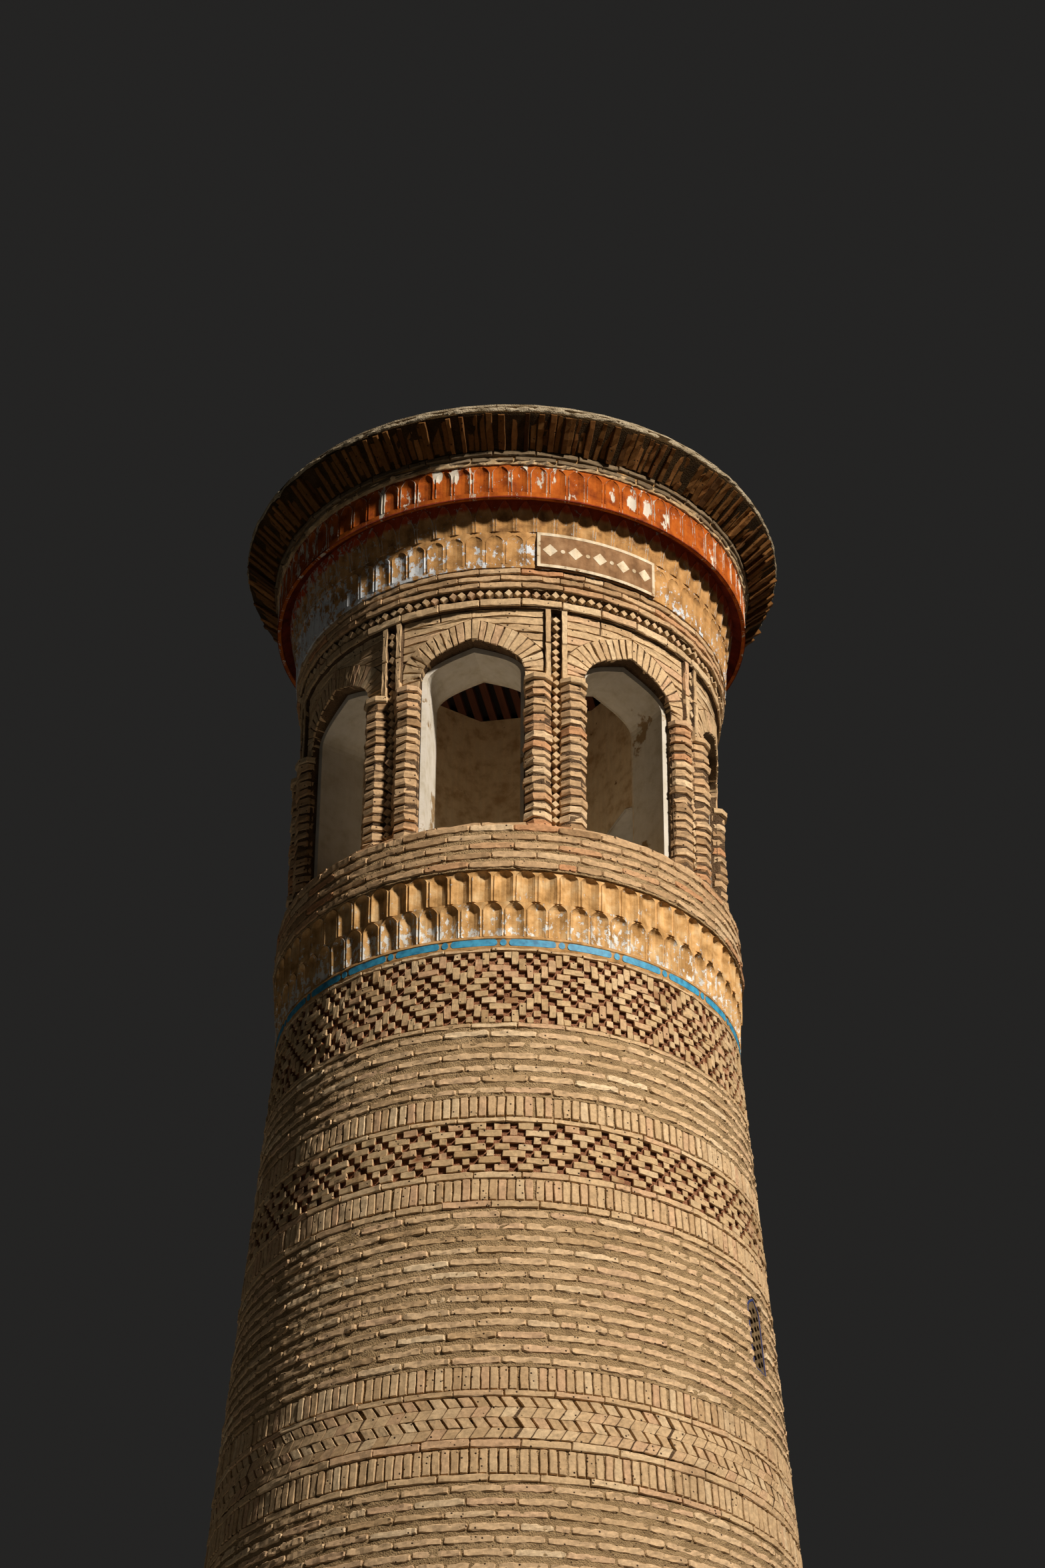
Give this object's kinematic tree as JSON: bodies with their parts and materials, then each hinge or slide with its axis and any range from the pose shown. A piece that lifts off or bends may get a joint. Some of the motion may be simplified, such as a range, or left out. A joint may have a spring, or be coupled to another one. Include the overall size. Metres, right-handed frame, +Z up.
{
  "type": "brick minaret",
  "caption": "Tapering round brick minaret with patterned brick bands, tiers of plaster niches, an open arched lantern and a flared brick eave.",
  "frame": {"origin": "on the tower's axis at ground level", "axes": "+Z up along the tower's axis, arch_1 faces -Y and the doorway faces +Y"},
  "size_m": [4.584, 4.584, 16.24],
  "materials": {
    "brick": "fired clay brick, weathered, in rough mortar",
    "grey_brick": "weathered brown-grey brick under the eave",
    "turquoise_glaze": "turquoise glazed strips set in ochre plaster",
    "ochre_plaster": "yellow ochre painted plaster, flaking",
    "red_plaster": "orange-red painted plaster, flaking",
    "brown_panel": "brown painted plaster panel with a pale border",
    "white_plaster": "white gypsum plaster, cracked and patched",
    "lime_render": "pale lime and straw render, weathered",
    "dark_timber": "dark red-brown poplar joists and boards",
    "blue_paint": "dark blue painted wood",
    "earth_floor": "brick and screed floor, dusty"
  },
  "bodies": {
    "root": {"upright_course_1": "brick", "chevron_band": "brick", "upright_course_2": "brick", "middle_wall": "brick", "upright_course_3": "brick", "diamond_band_lower": "brick", "upright_course_4": "brick", "upper_wall": "brick", "diamond_band_upper": "brick", "turquoise_strip": "turquoise_glaze", "lower_niches_bottom": "ochre_plaster", "lower_niches_top": "ochre_plaster", "sill_ring": "brick", "dogtooth_course": "brick", "brick_cornice": "brick", "upper_niches_bottom": "ochre_plaster", "upper_niches_top": "ochre_plaster", "red_frieze": "red_plaster", "flat_brick_ring": "grey_brick", "eave": "grey_brick", "lower_wall_front": "brick", "lower_wall_right": "brick", "lower_wall_left": "brick", "wall_left_of_door": "brick", "wall_right_of_door": "brick", "wall_over_door": "brick", "pier_1": "brick", "pier_2": "brick", "pier_3": "brick", "pier_4": "brick", "pier_5": "brick", "pier_6": "brick", "pier_7": "brick", "pier_8": "brick", "arch_1": "brick", "arch_2": "brick", "arch_3": "brick", "arch_4": "brick", "arch_5": "brick", "arch_6": "brick", "arch_7": "brick", "arch_8": "brick", "plain_panel": "brown_panel", "ground_floor": "earth_floor", "lantern_floor": "earth_floor", "ceiling": "dark_timber", "roof": "lime_render", "window_frame": "blue_paint", "window_lattice": "white_plaster"}
  },
  "joints": []
}
